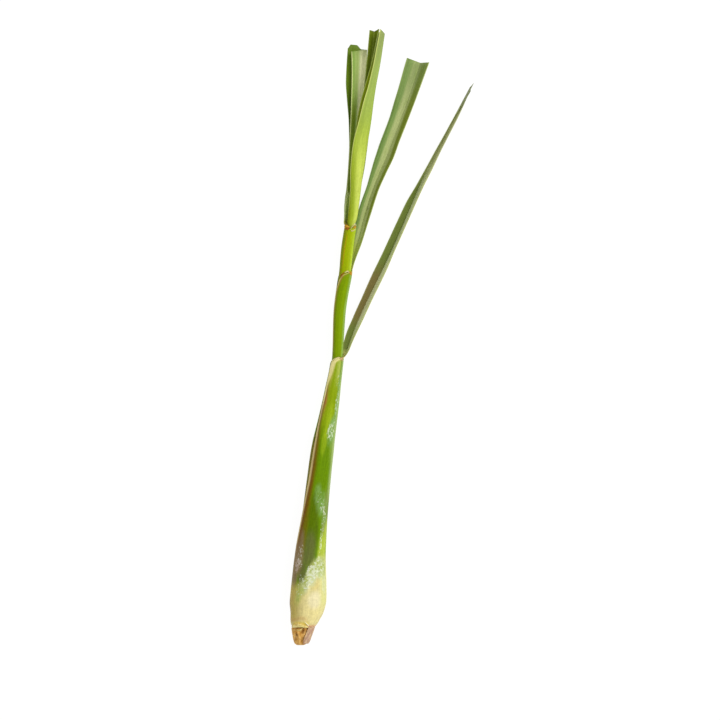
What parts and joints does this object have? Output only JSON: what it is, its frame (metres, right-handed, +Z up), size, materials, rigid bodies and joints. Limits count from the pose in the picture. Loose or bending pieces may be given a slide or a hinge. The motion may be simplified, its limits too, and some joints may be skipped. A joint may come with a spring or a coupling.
{
  "type": "lemongrass stalk",
  "caption": "Fresh lemongrass stalk with a pale bulb, green nested sheaths and long blades cut straight, lying on its side.",
  "frame": {"origin": "middle of the flat spot under the bulb that the stalk lies on", "axes": "+Y along the stalk from the root end to the cut leaf ends, +Z up from the surface it lies on"},
  "size_m": [0.113, 0.3808, 0.0222],
  "materials": {
    "root": "dry fibrous root end, orange-brown",
    "scale": "thin dried scale, pinkish brown",
    "outer_sheath": "cream bulb to green sheath, fine lengthwise ribs, white bloom",
    "middle_leaf": "satin green sheath and blue-green ribbed blade",
    "upper_leaf": "satin yellow-green sheath and ribbed blade",
    "inner_leaf": "satin dark yellow-green blade",
    "heart": "smooth light yellow-green young leaf"
  },
  "bodies": {
    "root": {"root_stub": "root", "base_scale": "scale", "leaf_1": "outer_sheath", "leaf_2": "middle_leaf", "leaf_3": "upper_leaf", "leaf_4": "inner_leaf", "heart_leaf": "heart"}
  },
  "joints": []
}
